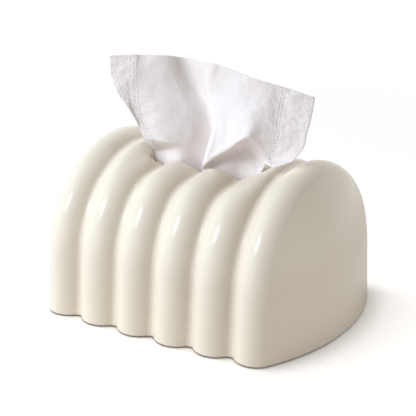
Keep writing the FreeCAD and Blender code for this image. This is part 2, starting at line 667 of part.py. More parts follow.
def thicken(net, step):
    """A solid between a net of points and the same net moved by one step."""
    behind = [[point + step for point in line] for line in net]
    faces = []
    for side in (net, behind):
        for left, right in zip(side, side[1:]):
            for row in range(len(left) - 1):
                faces.append(patch(left[row], left[row + 1], right[row + 1], right[row]))
    borders = []
    for side in (net, behind):
        bottom = [line[-1] for line in side]
        top = [line[0] for line in side]
        borders.append(side[0] + bottom[1:] + side[-1][-2::-1] + top[-2::-1])
    near, far = borders
    for index in range(len(near) - 1):
        faces.append(patch(near[index], near[index + 1], far[index + 1], far[index]))
    shell = Part.makeShell(faces)
    shell.sewShape()
    solid = Part.makeSolid(shell)
    if solid.Volume < 0:
        solid.reverse()
    return solid


pulled = doc.addObject("Part::Feature", "pulled_tissue")
pulled.Shape = thicken(front, Vector(0, size("sheet_thickness"), 0))
pulled.Label = "pulled_tissue"

doc.recompute()
subparts = [shell, plate, *feet, stack, flap, pulled]
for item in doc.Objects:
    faults = [state for state in item.State if state in ("Invalid", "Error")]
    if faults:
        raise RuntimeError(f"{item.Name} failed: {faults}")
for item in subparts:
    if item.Shape.isNull() or not item.Shape.isValid() or len(item.Shape.Solids) != 1:
        raise RuntimeError(f"{item.Label} isn't one valid solid")

os.makedirs("parts", exist_ok=True)
for item in subparts:
    item.Shape.exportStep(f"parts/{item.Label}.step")
    box = item.Shape.optimalBoundingBox()
    print(item.Label, round(item.Shape.Volume), [round(value, 2) for value in (
        box.XMin, box.YMin, box.ZMin, box.XMax, box.YMax, box.ZMax)])
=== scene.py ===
import bmesh
import bpy
import json
import math
from mathutils import Matrix, Vector, noise

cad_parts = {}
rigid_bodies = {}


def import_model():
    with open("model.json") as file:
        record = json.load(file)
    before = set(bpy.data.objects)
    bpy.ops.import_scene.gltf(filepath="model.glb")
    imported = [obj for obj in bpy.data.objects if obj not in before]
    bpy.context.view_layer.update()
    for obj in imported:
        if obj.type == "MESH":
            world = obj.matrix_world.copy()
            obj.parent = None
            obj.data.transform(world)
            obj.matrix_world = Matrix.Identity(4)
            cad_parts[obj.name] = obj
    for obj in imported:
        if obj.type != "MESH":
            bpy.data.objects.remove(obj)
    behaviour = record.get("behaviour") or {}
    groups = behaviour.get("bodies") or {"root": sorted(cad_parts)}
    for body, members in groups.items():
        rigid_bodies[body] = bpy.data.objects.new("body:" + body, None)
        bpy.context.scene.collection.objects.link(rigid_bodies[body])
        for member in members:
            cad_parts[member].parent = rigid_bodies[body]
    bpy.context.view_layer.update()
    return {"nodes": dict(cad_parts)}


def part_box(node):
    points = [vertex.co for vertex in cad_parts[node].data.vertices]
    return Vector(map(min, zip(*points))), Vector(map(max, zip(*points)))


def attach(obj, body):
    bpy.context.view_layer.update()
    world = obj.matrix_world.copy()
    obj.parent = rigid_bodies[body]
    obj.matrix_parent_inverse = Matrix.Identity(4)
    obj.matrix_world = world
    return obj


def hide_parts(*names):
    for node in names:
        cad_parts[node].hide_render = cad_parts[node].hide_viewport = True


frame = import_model()


# Feet: four soft silicone discs, moulded with a rounded lower edge, pressed into shallow
# round recesses under the base plate. They keep the rim a millimetre off the table.
foot_radius = 0.0080
foot_thickness = 0.0016
foot_edge_round = 0.0004
foot_sides = 64
mould_grain = 0.0006
mould_grain_depth = 0.0001
foot_colour = "B9B5AB"


def linear(hex_colour):
    """Turns an sRGB hex colour into linear red, green, blue and alpha."""
    channels = [int(hex_colour[i:i + 2], 16) / 255 for i in (0, 2, 4)]
    return [c / 12.92 if c <= 0.04045 else ((c + 0.055) / 1.055) ** 2.4 for c in channels] + [1.0]


def add_node(material, kind, settings=None, **sockets):
    """Adds a node, sets its properties, and fills its input sockets with values or links."""
    node = material.node_tree.nodes.new(kind)
    for name, value in (settings or {}).items():
        setattr(node, name, value)
    for name, value in sockets.items():
        key = int(name[1:]) if name[0] == "_" else name.replace("_", " ")
        if isinstance(value, bpy.types.NodeSocket):
            material.node_tree.links.new(value, node.inputs[key])
        else:
            node.inputs[key].default_value = value
    return node


def new_material(name):
    material = bpy.data.materials.new(name)
    material.use_nodes = True
    material.node_tree.nodes.remove(material.node_tree.nodes["Principled BSDF"])
    return material


def finish_material(material, shader):
    output = material.node_tree.nodes["Material Output"]
    material.node_tree.links.new(shader.outputs[0], output.inputs["Surface"])


def make_piece(name, shape, material, smooth_angle):
    """Turns a bmesh into a piece at the origin, shaded smooth below the given fold angle."""
    mesh = bpy.data.meshes.new(name)
    shape.to_mesh(mesh)
    shape.free()
    mesh.shade_smooth()
    mesh.set_sharp_from_angle(angle=math.radians(smooth_angle))
    mesh.materials.append(material)
    piece = bpy.data.objects.new(name, mesh)
    bpy.context.scene.collection.objects.link(piece)
    return piece


# Silicone rubber, compression moulded: dull and even, with a fine mould grain.
silicone = new_material("silicone_rubber_moulded")
silicone_place = add_node(silicone, "ShaderNodeTexCoord")
silicone_grain = add_node(silicone, "ShaderNodeTexNoise", Vector=silicone_place.outputs["Object"],
                          Scale=1 / mould_grain, Detail=2.0)
silicone_bump = add_node(silicone, "ShaderNodeBump", Height=silicone_grain.outputs["Fac"],
                         Strength=0.25, Distance=mould_grain_depth)
finish_material(silicone, add_node(
    silicone, "ShaderNodeBsdfPrincipled", Base_Color=linear(foot_colour), Roughness=0.65, IOR=1.41,
    Normal=silicone_bump.outputs["Normal"]))

for corner in ("front_left", "front_right", "back_left", "back_right"):
    low, high = (Vector(point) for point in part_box(f"foot_{corner}"))
    disc = bmesh.new()
    bmesh.ops.create_cone(disc, cap_ends=True, segments=foot_sides, radius1=foot_radius,
                          radius2=foot_radius, depth=foot_thickness)
    lower_edges = [edge for edge in disc.edges if all(vert.co.z < 0 for vert in edge.verts)]
    bmesh.ops.bevel(disc, geom=lower_edges, offset=foot_edge_round, affect="EDGES", segments=3,
                    profile=0.5, material=-1)
    bmesh.ops.translate(disc, verts=disc.verts, vec=(low + high) / 2)
    foot = make_piece(f"silicone_foot_{corner}", disc, silicone, smooth_angle=35)
    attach(foot, "base")
    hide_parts(f"foot_{corner}")


# Base plate: a flat moulded plate that drops into the cover's mouth and carries the pack.
# It is the same cream ABS as the cover, left matt from the mould.
plate_colour = "E4DDCE"
spark_grain = 0.0008
spark_depth = 0.00012

matt_abs = new_material("abs_matt_moulded")
plate_place = add_node(matt_abs, "ShaderNodeTexCoord")
plate_grain = add_node(matt_abs, "ShaderNodeTexNoise", Vector=plate_place.outputs["Object"],
                       Scale=1 / spark_grain, Detail=3.0)
plate_bump = add_node(matt_abs, "ShaderNodeBump", Height=plate_grain.outputs["Fac"],
                      Strength=0.3, Distance=spark_depth)
finish_material(matt_abs, add_node(
    matt_abs, "ShaderNodeBsdfPrincipled", Base_Color=linear(plate_colour), Roughness=0.55, IOR=1.5,
    Normal=plate_bump.outputs["Normal"]))
plate_slots = frame["nodes"]["base_plate"].material_slots
plate_slots[0].material = matt_abs


# Tissue stack: the interfolded pack, two-ply sheets folded over each other, so its long
# sides show a column of soft folds. It lies loose on the plate.
fold_thickness = 0.0014
fold_round_share = 0.42
fold_shuffle = 0.0007
shuffle_seed = 7
shuffle_stride = 3.7
shuffle_start = (0.5, 1.5)
stack_slack = 0.003
loose_folds = 5
loose_fold_step = 0.0006

stack_low, stack_high = (Vector(point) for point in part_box("tissue_stack"))
stack_size = stack_high - stack_low
fold_count = round(stack_size.z / fold_thickness)
fold_height = stack_size.z / fold_count
pack = bmesh.new()
noise.seed_set(shuffle_seed)
for layer in range(fold_count):
    settle = noise.noise_vector(Vector((layer * shuffle_stride, *shuffle_start))) * fold_shuffle
    edge_in = max(0.0, (layer - fold_count + loose_folds) * loose_fold_step)
    drawn_in = stack_slack + 2 * edge_in
    fold_size = (stack_size.x - drawn_in, stack_size.y - drawn_in, fold_height)
    centre = (settle.x, settle.y, stack_low.z + (layer + 0.5) * fold_height)
    place = Matrix.LocRotScale(centre, None, fold_size)
    new_fold = bmesh.ops.create_cube(pack, size=1.0, matrix=place)
    fold_edges = dict.fromkeys(edge for vert in new_fold["verts"] for edge in vert.link_edges)
    level_edges = [
        edge for edge in fold_edges
        if abs(edge.verts[0].co.z - edge.verts[1].co.z) < fold_height / 2
    ]
    bmesh.ops.bevel(pack, geom=level_edges, offset=fold_height * fold_round_share, affect="EDGES",
                    segments=3, profile=0.5, material=-1)

# Two-ply facial tissue: creped, soft white paper. A fine crepe roughens it and fibres give it
# a faint cloudy tone; the crepe is drawn coarser than it is so that it shows.
paper_white = "EFE8E5"
paper_shade = "E8E1DE"
crepe_pitch = 0.0009
crepe_depth = 0.00015
fibre_cloud = 0.006

paper = new_material("tissue_paper_creped")
paper_place = add_node(paper, "ShaderNodeTexCoord")
paper_cloud = add_node(paper, "ShaderNodeTexNoise", Vector=paper_place.outputs["Object"],
                       Scale=1 / fibre_cloud, Detail=4.0)
paper_tone = add_node(paper, "ShaderNodeMix", {"data_type": "RGBA"}, _0=paper_cloud.outputs["Fac"],
                      _6=linear(paper_shade), _7=linear(paper_white))
paper_crepe = add_node(paper, "ShaderNodeTexNoise", Vector=paper_place.outputs["Object"],
                       Scale=1 / crepe_pitch, Detail=2.0)
paper_bump = add_node(paper, "ShaderNodeBump", Height=paper_crepe.outputs["Fac"],
                      Strength=0.3, Distance=crepe_depth)
finish_material(paper, add_node(
    paper, "ShaderNodeBsdfPrincipled", Base_Color=paper_tone.outputs[2], Roughness=0.9, IOR=1.4,
    Specular_IOR_Level=0.2, Normal=paper_bump.outputs["Normal"]))

stack = make_piece("tissue_pack", pack, paper, smooth_angle=40)
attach(stack, "base")
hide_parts("tissue_stack")


# Next tissue: the sheet that waits on top of the pack. Half of it lies flat on the folds and
# its leading half is drawn up in the middle, behind the tail of the sheet being pulled.
next_width = 0.190
next_run = 0.0640
next_flat_back = 0.0525
next_bend_line = 0.0175
next_bend_radius = 0.0068
next_rise_angle = math.radians(86)
drawn_half_width = 0.048
drawn_fade = 0.040
drawn_fade_power = 1.5
ripple_height = 0.0006
ripple_lift = 0.0007
ripples_per_metre = 60
paper_gauge = 0.00025

flat_run = next_flat_back - next_bend_line
drawn_up = bmesh.new()
bmesh.ops.create_grid(drawn_up, x_segments=90, y_segments=40, size=0.5)
for vert in drawn_up.verts:
    x = vert.co.x * next_width
    run = (0.5 - vert.co.y) * next_run
    faded = min(1.0, max(0.0, (abs(x) - drawn_half_width) / drawn_fade))
    lift_angle = next_rise_angle * (1 - faded) ** drawn_fade_power
    ripple_place = Vector((x * ripples_per_metre, run * ripples_per_metre, 0.0))
    ripple = ripple_height * noise.noise(ripple_place) + ripple_lift
    past = run - flat_run
    bend_run = next_bend_radius * lift_angle
    if past <= 0:
        y = next_flat_back - run
        z = 0.0
    elif past < bend_run:
        turned = past / next_bend_radius
        y = next_bend_line - next_bend_radius * math.sin(turned)
        z = next_bend_radius * (1 - math.cos(turned))
    else:
        straight = past - bend_run
        y = next_bend_line - next_bend_radius * math.sin(lift_angle) - straight * math.cos(lift_angle)
        z = next_bend_radius * (1 - math.cos(lift_angle)) + straight * math.sin(lift_angle)
    vert.co = (x, y, stack_high.z + z + ripple)

waiting_sheet = make_piece("next_tissue_sheet", drawn_up, paper, smooth_angle=180)
solid = waiting_sheet.modifiers.new("ply", "SOLIDIFY")
solid.thickness = paper_gauge
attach(waiting_sheet, "base")
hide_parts("next_tissue")


# Cover shell: one glossy cream ABS moulding, a loaf of six half-round ribs with domed ends.
# The ribs sink to a dish round the long slot, whose lip rolls inwards and hangs as a collar.
# Inside its rim a ledge sits on the base plate.
cover_length = 0.2452
cover_depth = 0.1890
cover_height = 0.1340
wall_lean = math.radians(5)
rim_stand = 0.0010
ledge_height = 0.0032
rib_count = 6
end_reach = 0.0351
rib_radius = 0.0191
valley_radius = 0.0046
valley_depth = 0.0072
end_radius = 0.0163
crest_bow = 1.44
shell_wall = 0.0032
dome_steps = 18
shoulder_steps = 12
rib_steps = 18
valley_steps = 10
crown_steps = 64
slot_half_length = 0.0540
slot_end_radius = 0.0130
slot_crest_half_width = 0.0140
slot_valley_half_width = 0.0085
lip_radius = 0.0085
dish_level = 0.1225
dish_softness = 0.0140
dish_angle = math.radians(47)
dish_full = 0.0470
dish_end = 0.0710
row_crowding_lip_share = 0.6
row_crowding_end = 0.086
collar_base = 0.1010
rim_round = 0.0011
same_place = 1e-6
weld_distance = 1e-7
cover_colour = "EAE1D0"
cover_shade = "E6DCCA"

rib_pitch = (cover_length - 2 * end_reach) / (rib_count - 1)
crown_radius = (
    cover_depth / 2 * math.cos(wall_lean) - cover_height * math.sin(wall_lean)
) / (1 - math.sin(wall_lean))
crown_axis = Vector((0, 0, rim_stand + cover_height - crown_radius))


def rib_centre(index):
    x = (index - (rib_count - 1) / 2) * rib_pitch
    sag = crest_bow - math.sqrt(crest_bow ** 2 - x ** 2)
    return Vector((x, 0, crown_axis.z + crown_radius - sag - rib_radius))


def bearing(vector):
    """Angle of a vector in the profile's plane, clockwise from straight up, seen from the front."""
    return math.atan2(vector.x, vector.z)


def turn_profile(shape, last, centre, end_bearing, steps):
    """Runs the profile on along an arc, from its last vertex round a centre to a bearing."""
    angle = (end_bearing - bearing(last.co - centre) + math.pi) % (2 * math.pi) - math.pi
    arc = bmesh.ops.spin(shape, geom=[last], cent=centre, axis=(0, 1, 0), dvec=(0, 0, 0),
                         angle=angle, steps=steps, use_duplicate=False)
    return next(item for item in arc["geom_last"] if isinstance(item, bmesh.types.BMVert))


def smooth_step(low, high, value):
    share = min(1.0, max(0.0, (value - low) / (high - low)))
    return share * share * (3 - 2 * share)


# The profile starts at the left tip, climbs the domed end, runs over rib and valley in turn
# and comes down the right end. It is then turned about the crown's axis and drawn down.
centres = [rib_centre(index) for index in range(rib_count)]
end_centre = centres[-1] + Vector((0, 0, rib_radius - end_radius))
end_rise = end_centre.z - crown_axis.z
dome_radius = (end_reach ** 2 + end_rise ** 2 - end_radius ** 2) / (2 * (end_reach - end_radius))
dome_centre = Vector((cover_length / 2 - dome_radius, 0, crown_axis.z))
left_end = Vector((-1, 1, 1))

loaf = bmesh.new()
last = loaf.verts.new((-cover_length / 2, 0, crown_axis.z))
shoulder_bearing = bearing((end_centre - dome_centre) * left_end)
last = turn_profile(loaf, last, dome_centre * left_end, shoulder_bearing, dome_steps)
last = turn_profile(loaf, last, end_centre * left_end, 0.0, shoulder_steps)
for index in range(rib_count - 1):
    left, right = centres[index], centres[index + 1]
    across = right - left
    lift = math.sqrt((rib_radius + valley_radius) ** 2 - across.length_squared / 4)
    valley = (left + right) / 2 + Vector((-across.z, 0, across.x)).normalized() * lift
    steps = rib_steps // 2 if index == 0 else rib_steps
    last = turn_profile(loaf, last, left, bearing(valley - left), steps)
    last = turn_profile(loaf, last, valley, bearing(right - valley), valley_steps)
last = turn_profile(loaf, last, centres[-1], 0.0, rib_steps // 2)
last = turn_profile(loaf, last, end_centre, bearing(end_centre - dome_centre), shoulder_steps)
last = turn_profile(loaf, last, dome_centre, math.pi / 2, dome_steps)

crown = bmesh.ops.spin(loaf, geom=loaf.verts[:] + loaf.edges[:], cent=crown_axis, axis=(1, 0, 0),
                       dvec=(0, 0, 0), angle=math.pi / 2 - wall_lean, steps=crown_steps,
                       use_duplicate=False)
spring_line = [item for item in crown["geom_last"] if isinstance(item, bmesh.types.BMEdge)]


# The crown is sculpted row by row: near the slot the rows close up, sink to the dish and roll
# over the lip, so that the top row becomes the throat's edge.
slot_straight = slot_half_length - slot_end_radius
row_crowding_start = slot_half_length + lip_radius * row_crowding_lip_share


def throat_half_width(x, hollow):
    """Half the slot's width at one place along it; it draws in a little at each valley."""
    past_end = max(0.0, abs(x) - slot_straight) / slot_end_radius
    if past_end >= 1:
        return 0.0
    width = slot_crest_half_width + (slot_valley_half_width - slot_crest_half_width) * hollow
    return width * math.sqrt(1 - past_end ** 2)


def sink(level, floor, softness):
    """The lower of two heights, with a soft change from one to the other."""
    share = min(1.0, max(0.0, 0.5 + 0.5 * (floor - level) / softness))
    return floor + (level - floor) * share - softness * share * (1 - share)


for vert in loaf.verts:
    x, y, z = vert.co
    rise = z - crown_axis.z
    angle = math.atan2(-y, rise)
    if angle > dish_angle or rise <= 0 or abs(x) > cover_length / 2 - end_reach:
        continue
    reach = math.hypot(y, rise)
    hollow = min(1.0, max(0.0, (crown_radius - reach) / valley_depth))
    half_width = throat_half_width(x, hollow)
    start = reach * math.sin(dish_angle)
    span = start - half_width
    dish_run = span - lip_radius
    run = (1 - angle / dish_angle) * (dish_run + math.pi / 2 * lip_radius)
    if run < dish_run:
        away = span - run
    else:
        away = lip_radius * (1 - math.sin((run - dish_run) / lip_radius))
    near = 1 - smooth_step(row_crowding_start, row_crowding_end, abs(x))
    new_y = y + (-(half_width + away) - y) * near
    level = math.sqrt(reach ** 2 - new_y ** 2) + crown_axis.z
    dish = 1 - smooth_step(dish_full, dish_end, abs(x))
    lowered = sink(level, dish_level - (crown_radius - reach), dish_softness)
    level += (lowered - level) * dish
    if abs(x) > slot_straight:
        away = math.hypot(abs(x) - slot_straight, new_y) - slot_end_radius
    else:
        away = -new_y - half_width
    gap = min(lip_radius, max(0.0, lip_radius - away))
    level -= lip_radius - math.sqrt(lip_radius ** 2 - gap ** 2)
    vert.co = (x, new_y, level)

# The front wall goes straight down from the crown and is cut level at the ledge. The back
# half is the same again, and each end is closed by the narrow flat between the two halves.
wall_drop = (crown_axis.z + crown_radius * math.sin(wall_lean)) / math.cos(wall_lean)
walls = bmesh.ops.extrude_edge_only(loaf, edges=spring_line)
wall_feet = [item for item in walls["geom"] if isinstance(item, bmesh.types.BMVert)]
bmesh.ops.translate(loaf, verts=wall_feet,
                    vec=(0, -math.sin(wall_lean) * wall_drop, -math.cos(wall_lean) * wall_drop))
bmesh.ops.remove_doubles(loaf, verts=loaf.verts, dist=weld_distance)
bmesh.ops.bisect_plane(loaf, geom=loaf.verts[:] + loaf.edges[:] + loaf.faces[:], dist=weld_distance,
                       plane_co=(0, 0, ledge_height), plane_no=(0, 0, -1), clear_outer=True)
bmesh.ops.mirror(loaf, geom=loaf.verts[:] + loaf.edges[:] + loaf.faces[:], axis="Y", merge_dist=-1.0)
seam = [vert for vert in loaf.verts if abs(vert.co.y) < same_place]
bmesh.ops.remove_doubles(loaf, verts=seam, dist=same_place)
for tip in (-cover_length / 2, cover_length / 2):
    gap_edges = [
        edge for edge in loaf.edges
        if edge.is_boundary and all(abs(vert.co.x - tip) < same_place for vert in edge.verts)
    ]
    gap_verts = dict.fromkeys(vert for edge in gap_edges for vert in edge.verts)
    bmesh.ops.contextual_create(loaf, geom=list(gap_verts))
bmesh.ops.recalc_face_normals(loaf, faces=loaf.faces)

throat_edges = [edge for edge in loaf.edges if edge.is_boundary and edge.verts[0].co.z > crown_axis.z]
collar = bmesh.ops.extrude_edge_only(loaf, edges=throat_edges)
for item in collar["geom"]:
    if isinstance(item, bmesh.types.BMVert):
        item.co.z = collar_base
bmesh.ops.recalc_face_normals(loaf, faces=loaf.faces)

# The wall gets its thickness, then the outer half of its lower edge is drawn down to the rim,
# which leaves the ledge inside, and the rim's edge is rounded.
facing_down = -0.7
facing_aside = -0.5
near_ledge = ledge_height + 0.001
in_plan = Vector((1, 1, 0))

bmesh.ops.solidify(loaf, geom=loaf.faces[:], thickness=shell_wall)
rim_ring = [
    face for face in loaf.faces
    if face.normal.z < facing_down and face.calc_center_median().z < near_ledge
]
for face in rim_ring:
    for vert in face.verts:
        vert.co.z = ledge_height
rim_faces = set(rim_ring)
cross_edges = [
    edge for edge in dict.fromkeys(edge for face in rim_ring for edge in face.edges)
    if all(face in rim_faces for face in edge.link_faces)
]
split = bmesh.ops.subdivide_edges(loaf, edges=cross_edges, cuts=1)
middle_verts = dict.fromkeys(item for item in split["geom_inner"] if isinstance(item, bmesh.types.BMVert))
outer_ring = []
for face in dict.fromkeys(face for vert in middle_verts for face in vert.link_faces):
    edge_reach = [vert.co.xy.length for vert in face.verts if vert not in middle_verts]
    middle_reach = [vert.co.xy.length for vert in face.verts if vert in middle_verts]
    if sum(edge_reach) / len(edge_reach) > sum(middle_reach) / len(middle_reach):
        outer_ring.append(face)
skirt = bmesh.ops.extrude_face_region(loaf, geom=outer_ring)
bmesh.ops.delete(loaf, geom=outer_ring, context="FACES_ONLY")
for item in skirt["geom"]:
    if isinstance(item, bmesh.types.BMVert):
        item.co.z = rim_stand
bmesh.ops.recalc_face_normals(loaf, faces=loaf.faces)
rim_edges = [
    edge for edge in loaf.edges
    if all(vert.co.z < rim_stand + same_place for vert in edge.verts)
    and any(face.normal.z > facing_aside and face.normal.dot(face.calc_center_median() * in_plan) > 0
            for face in edge.link_faces)
]
bmesh.ops.bevel(loaf, geom=rim_edges, offset=rim_round, affect="EDGES", segments=3, profile=0.5,
                material=-1)

# Glossy ABS, injection moulded and polished: cream right through, with a clear skin that mirrors
# the lamps, and the slight unevenness of a large moulding.
tone_patch = 0.070
skin_wave = 0.022
skin_depth = 0.0006

gloss_abs = new_material("abs_gloss_moulded")
cover_place = add_node(gloss_abs, "ShaderNodeTexCoord")
tone = add_node(gloss_abs, "ShaderNodeTexNoise", Vector=cover_place.outputs["Object"],
                Scale=1 / tone_patch, Detail=2.0)
tone_mix = add_node(gloss_abs, "ShaderNodeMix", {"data_type": "RGBA"}, _0=tone.outputs["Fac"],
                    _6=linear(cover_shade), _7=linear(cover_colour))
skin = add_node(gloss_abs, "ShaderNodeTexNoise", Vector=cover_place.outputs["Object"],
                Scale=1 / skin_wave, Detail=1.0)
skin_bump = add_node(gloss_abs, "ShaderNodeBump", Height=skin.outputs["Fac"],
                     Strength=0.08, Distance=skin_depth)
finish_material(gloss_abs, add_node(
    gloss_abs, "ShaderNodeBsdfPrincipled", Base_Color=tone_mix.outputs[2], Roughness=0.2, IOR=1.53,
    Normal=skin_bump.outputs["Normal"]))

shell = make_piece("cover_moulding", loaf, gloss_abs, smooth_angle=40)
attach(shell, "cover")
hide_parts("cover_shell")


# Pulled tissue: one two-ply sheet of 205 by 180 mm, pinched up through the slot. A hollow on the
# left runs behind the edge of the flat panel on the right, and a tent-like fold stands low on the
# panel. The tail is gathered in pleats and folded on itself above the pack.
sheet_width = 0.205
sheet_length = 0.180
sheet_columns = 164
sheet_rows = 160
pleat_half_width = 0.0410
pleat_depth = 0.0065
tail_levels = (0.1040, 0.0900, 0.0765, 0.0757, 0.0860, 0.0985, 0.0993, 0.0880, 0.0790)
tail_back = (-0.0016, -0.0016, -0.0016, -0.0006, 0.0, 0.0, 0.0010, 0.0016, 0.0016)
waver_height = 0.0007
wavers_per_metre = 55
crimp_height = 0.0003
crimps_per_metre = 130

# Each fold line runs from the sheet's top edge down into the slot, in millimetres. The marks give
# where the lines and their points lie on the flat sheet, in millimetres from its left and top.
fold_lines = {
    "left_edge": ((-88, -13, 197), (-86, -14, 182), (-78, -15, 167), (-69, -15, 157),
                  (-61, -14, 145), (-56, -12, 133), (-51, -7, 122), (-46, -6, 108)),
    "left_bond": ((-67, -7, 199), (-66, -9, 185), (-65, -10, 171), (-63, -11, 157),
                  (-56, -12, 145), (-48, -13, 133), (-50, -5, 121), (-43, -7, 110)),
    "strip_edge": ((-61, -4, 199), (-56, -6, 184), (-51, -7, 171), (-44, -9, 159),
                   (-39, -11, 146), (-33, -13, 133), (-40, -4, 124), (-36, -8, 114)),
    "hollow_middle": ((-43, 0, 200), (-38, 0.5, 187), (-31, 0, 173), (-22, -2, 157),
                      (-17, -4, 144), (-20, -7, 130), (-24, -8, 125), (-21, -8, 115)),
    "hollow_deep": ((-33, 9, 198), (-27, 9, 186), (-20, 8, 174), (-5, 5, 156),
                    (-1, 5, 136), (-4, 0, 120), (-6, -2, 112), (-7, -4, 106)),
    "fold_edge": ((-23, 9, 198), (-17, 8.2, 186), (-9, 6, 174), (4, -2, 155),
                  (5, -9, 141), (0, -12, 119), (-1, -9, 116), (-3, -6.5, 108)),
    "crease_crest": ((-1, 4.3, 198), (-4, 4.4, 185), (-3, 3.8, 172), (10, -3.6, 157),
                     (14, -11, 144), (11, -14, 128), (7, -6, 119), (5, -8, 112)),
    "crease_valley": ((7, 4.7, 197), (3, 3.9, 184), (3, 2.1, 171), (17, -5.4, 157),
                      (23, -12, 146), (26, -16, 138), (19, -4, 125), (17, -8, 113)),
    "panel_left": ((22, 2.8, 195), (24, 0.5, 183), (26, -3, 172), (30, -8, 162),
                   (34, -13, 153), (36, -17, 146), (26, 0, 129), (29, -6.5, 111)),
    "panel_middle": ((40, 1, 192), (40, -1, 181), (42, -4.5, 172), (43, -8.5, 165),
                     (45, -13, 158), (45, -17, 151), (32, 2, 131), (43, -6.5, 115)),
    "panel_right": ((52, 2, 190), (52, -0.5, 179), (53, -4, 170), (53, -7.5, 161),
                    (53, -10, 153), (50, -10, 143), (42, 0, 127), (49, -8, 119)),
    "right_bond": ((63, 4, 188), (62, 2, 177), (62, -1.5, 167), (63, -5, 158),
                   (62, -7, 148), (58, -6, 133), (57, -11, 130), (52, -6, 126)),
    "right_edge": ((88, 7, 183), (88, 4, 173), (88, 0, 164), (87, -3, 156),
                   (86, -6, 146), (80, -12, 136), (68, -21, 131), (53, -3, 130)),
}
across_marks = (0, 22, 32, 49, 72, 84, 111, 117, 130, 151, 165, 178, 205)
down_marks = (0, 14, 28, 43, 55, 68, 77, 86, 96, 111, 126, 128, 140, 154, 156, 169, 180)
sharp_rows = (5, 6)

fold_net = []
for column, line in enumerate(fold_lines.values()):
    points = [Vector(point) / 1000 for point in line]
    share = column / (len(fold_lines) - 1)
    pleat = pleat_depth * (1 if column % 2 else -1)
    for level, behind in zip(tail_levels, tail_back):
        points.append(Vector((pleat_half_width * (2 * share - 1), pleat + behind, level)))
    fold_net.append(points)


def mark_place(marks, share):
    """Where a share of the flat sheet falls among its marks, counted in marks."""
    value = share * marks[-1]
    index = max(i for i in range(len(marks) - 1) if marks[i] <= value)
    return index + (value - marks[index]) / (marks[index + 1] - marks[index])


def fold_point(points, place, sharp=()):
    """A point on the curve through a line of points, which may bend sharply at some of them."""
    index = min(int(place), len(points) - 2)
    share = place - index
    start, end = points[index], points[index + 1]
    leave = arrive = end - start
    if index > 0 and index not in sharp:
        leave = (end - points[index - 1]) / 2
    if index + 2 < len(points) and index + 1 not in sharp:
        arrive = (points[index + 2] - start) / 2
    bend = share * share * (3 - 2 * share)
    return (start + (end - start) * bend + leave * share * (1 - share) ** 2
            - arrive * share ** 2 * (1 - share))


sheet = bmesh.new()
bmesh.ops.create_grid(sheet, x_segments=sheet_columns, y_segments=sheet_rows, size=0.5, calc_uvs=False)
uv_layer = sheet.loops.layers.uv.new("sheet")
for face in sheet.faces:
    for loop in face.loops:
        loop[uv_layer].uv = (loop.vert.co.x + 0.5, loop.vert.co.y + 0.5)
for vert in sheet.verts:
    across = mark_place(across_marks, vert.co.x + 0.5)
    down = mark_place(down_marks, 0.5 - vert.co.y)
    crossing = [fold_point(line, down, sharp_rows) for line in fold_net]
    spot = fold_point(crossing, across)
    waver = noise.noise(spot * wavers_per_metre) * waver_height
    crimp = noise.noise(spot * crimps_per_metre) * crimp_height
    spot.y += waver + crimp
    vert.co = spot
bmesh.ops.smooth_vert(sheet, verts=sheet.verts, factor=0.5, use_axis_x=True, use_axis_y=True,
                      use_axis_z=True)
bmesh.ops.recalc_face_normals(sheet, faces=sheet.faces)

# Bonded tissue: the same creped paper, with two double rows of pressed dots that hold its plies
# together along the sides, and the faint crumples of a handled sheet.
bond_middle = 0.100
bond_reach = 0.078
row_half_gap = 0.00115
dot_pitch = 0.0028
dot_half_width = 0.0009
dot_depth = 0.0005
dot_wave_low = -0.2
dot_wave_high = 0.6
crumple_size = 0.010
crumple_depth = 0.0026
crumple_start = 0.045
crumple_full = 0.080
crumple_least = 0.25

bonded = new_material("tissue_paper_bonded")
sheet_place = add_node(bonded, "ShaderNodeUVMap", {"uv_map": "sheet"})
sheet_spot = add_node(bonded, "ShaderNodeVectorMath", {"operation": "MULTIPLY"},
                      _0=sheet_place.outputs["UV"], _1=(sheet_width, sheet_length, 0.0))
sheet_axes = add_node(bonded, "ShaderNodeSeparateXYZ", _0=sheet_spot.outputs[0])
from_middle = add_node(bonded, "ShaderNodeMath", {"operation": "SUBTRACT"},
                       _0=sheet_axes.outputs["X"], _1=bond_middle)
either_side = add_node(bonded, "ShaderNodeMath", {"operation": "ABSOLUTE"}, _0=from_middle.outputs[0])
from_bond = add_node(bonded, "ShaderNodeMath", {"operation": "SUBTRACT"},
                     _0=either_side.outputs[0], _1=bond_reach)
either_row = add_node(bonded, "ShaderNodeMath", {"operation": "ABSOLUTE"}, _0=from_bond.outputs[0])
from_row = add_node(bonded, "ShaderNodeMath", {"operation": "SUBTRACT"},
                    _0=either_row.outputs[0], _1=row_half_gap)
off_row = add_node(bonded, "ShaderNodeMath", {"operation": "ABSOLUTE"}, _0=from_row.outputs[0])
on_row = add_node(bonded, "ShaderNodeMapRange", Value=off_row.outputs[0],
                  From_Max=dot_half_width, To_Min=1.0, To_Max=0.0)
dot_turn = add_node(bonded, "ShaderNodeMath", {"operation": "MULTIPLY"}, _0=sheet_axes.outputs["Y"],
                    _1=2 * math.pi / dot_pitch)
dot_wave = add_node(bonded, "ShaderNodeMath", {"operation": "SINE"}, _0=dot_turn.outputs[0])
on_dot = add_node(bonded, "ShaderNodeMapRange", Value=dot_wave.outputs[0],
                  From_Min=dot_wave_low, From_Max=dot_wave_high)
dot_height = add_node(bonded, "ShaderNodeMath", {"operation": "MULTIPLY"}, _0=on_row.outputs["Result"],
                      _1=on_dot.outputs["Result"])
bond_cloud = add_node(bonded, "ShaderNodeTexNoise", Vector=sheet_spot.outputs[0],
                      Scale=1 / fibre_cloud, Detail=4.0)
